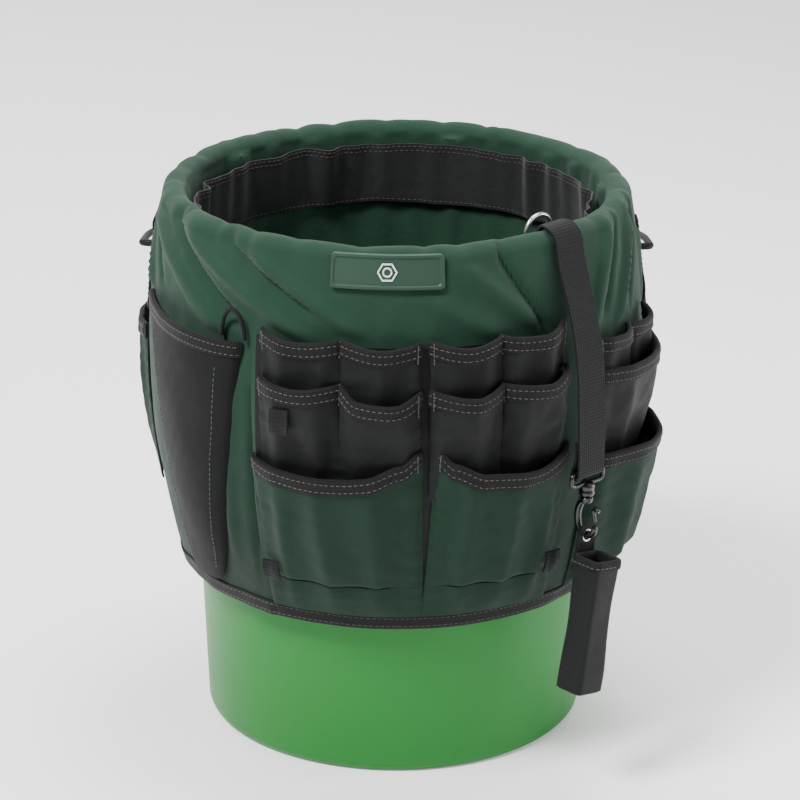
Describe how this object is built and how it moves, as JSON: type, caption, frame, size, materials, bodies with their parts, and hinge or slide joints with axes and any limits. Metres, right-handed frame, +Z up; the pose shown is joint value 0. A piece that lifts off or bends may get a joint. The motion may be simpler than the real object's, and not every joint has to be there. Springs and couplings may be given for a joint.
{
  "type": "tool bucket organizer",
  "caption": "Fabric tool organizer hooked over a tapered pail, with rings of outside pockets, an inner pocket band, a holster, a bail, and a strap with snap hook and pouch.",
  "frame": {"origin": "centre of the pail's underside, on the floor", "axes": "+Z up along the pail's axis, -Y towards the front with the patch, +X to the right seen from the front"},
  "size_m": [0.3567, 0.3902, 0.3864],
  "materials": {
    "pail_plastic": "satin moulded polyethylene",
    "green_cloth": "coarse woven polyester, matt",
    "black_cloth": "coarse woven polyester, matt",
    "binding_tape": "ribbed woven tape with contrast stitching",
    "strap_webbing": "flat polyester webbing",
    "patch_rubber": "moulded soft rubber, satin",
    "bail_steel": "black coated wire, satin",
    "ring_steel": "nickel plated wire",
    "grip_plastic": "moulded black plastic",
    "hook_plastic": "moulded black acetal, slightly glossy"
  },
  "bodies": {
    "root": {"bail_ear_left": "pail_plastic", "bail_ear_right": "pail_plastic", "bucket_floor": "pail_plastic", "bucket_wall": "pail_plastic", "front_backing_panel": "black_cloth", "front_lower_pocket_left": "green_cloth", "front_lower_pocket_left_binding": "binding_tape", "front_lower_pocket_right": "green_cloth", "front_lower_pocket_right_binding": "binding_tape", "front_middle_pockets_left": "black_cloth", "front_middle_pockets_left_binding": "binding_tape", "front_middle_pockets_right": "black_cloth", "front_middle_pockets_right_binding": "binding_tape", "front_upper_pockets_left": "black_cloth", "front_upper_pockets_left_binding": "binding_tape", "front_upper_pockets_right": "black_cloth", "front_upper_pockets_right_binding": "binding_tape", "holster": "black_cloth", "holster_binding": "binding_tape", "holster_loop": "binding_tape", "inner_pocket_band": "black_cloth", "label_patch": "patch_rubber", "lining": "green_cloth", "lining_hem_binding": "binding_tape", "rear_lower_pocket_left": "green_cloth", "rear_lower_pocket_left_binding": "binding_tape", "rear_lower_pocket_right": "green_cloth", "rear_lower_pocket_right_binding": "binding_tape", "rear_upper_pockets_left": "black_cloth", "rear_upper_pockets_left_binding": "binding_tape", "rear_upper_pockets_right": "black_cloth", "rear_upper_pockets_right_binding": "binding_tape", "right_lower_pocket": "green_cloth", "right_lower_pocket_binding": "binding_tape", "right_middle_pocket": "black_cloth", "right_middle_pocket_binding": "binding_tape", "right_upper_pockets": "black_cloth", "right_upper_pockets_binding": "binding_tape", "rim_fold": "green_cloth", "ring_keeper": "strap_webbing", "side_rear_pocket_left": "green_cloth", "side_rear_pocket_left_binding": "binding_tape", "side_rear_pocket_right": "green_cloth", "side_rear_pocket_right_binding": "binding_tape", "skirt": "green_cloth", "skirt_hem_binding": "binding_tape", "slit_binding_left": "binding_tape", "slit_binding_right": "binding_tape", "tab_front_lower_left": "binding_tape", "tab_front_lower_right": "binding_tape", "tab_front_middle": "binding_tape"},
    "bail": {"bail_wire": "bail_steel"},
    "grip": {"bail_grip": "grip_plastic"},
    "ring": {"tool_ring": "ring_steel"},
    "strap": {"hanging_strap": "strap_webbing", "hook_eye": "hook_plastic"},
    "hook": {"hook_body": "hook_plastic"},
    "gate": {"hook_gate": "hook_plastic"},
    "pouch": {"pouch_body": "black_cloth", "pouch_tongue": "black_cloth"}
  },
  "joints": [
    {"name": "bail_swing", "type": "hinge", "parent": "root", "child": "bail", "pos_m": [0, 0, 0.333], "axis": [1, 0, 0], "range_deg": [0, 176]},
    {"name": "grip_spin", "type": "hinge", "parent": "bail", "child": "grip", "pos_m": [0, 0.19142, 0.29579], "axis": [1, 0, 0], "continuous": true},
    {"name": "ring_swing", "type": "hinge", "parent": "root", "child": "ring", "pos_m": [0.09112, -0.09771, 0.362], "axis": [-0.7314, -0.682, 0], "range_deg": [0, 165]},
    {"name": "strap_swing", "type": "hinge", "parent": "root", "child": "strap", "pos_m": [0.11178, -0.11987, 0.368], "axis": [-0.7314, -0.682, 0], "range_deg": [0, 25]},
    {"name": "hook_swivel", "type": "hinge", "parent": "strap", "child": "hook", "pos_m": [0.12569, -0.13479, 0.207], "axis": [0, 0, 1], "range_deg": [-45, 45]},
    {"name": "gate_press", "type": "hinge", "parent": "hook", "child": "gate", "pos_m": [0.12992, -0.13932, 0.1972], "axis": [0.7314, 0.682, 0], "range_deg": [0, 25], "stiffness_Nm_per_rad": 0.01},
    {"name": "pouch_swing", "type": "hinge", "parent": "hook", "child": "pouch", "pos_m": [0.12624, -0.13537, 0.177], "axis": [0.682, -0.7314, 0], "range_deg": [-8, 25]}
  ]
}
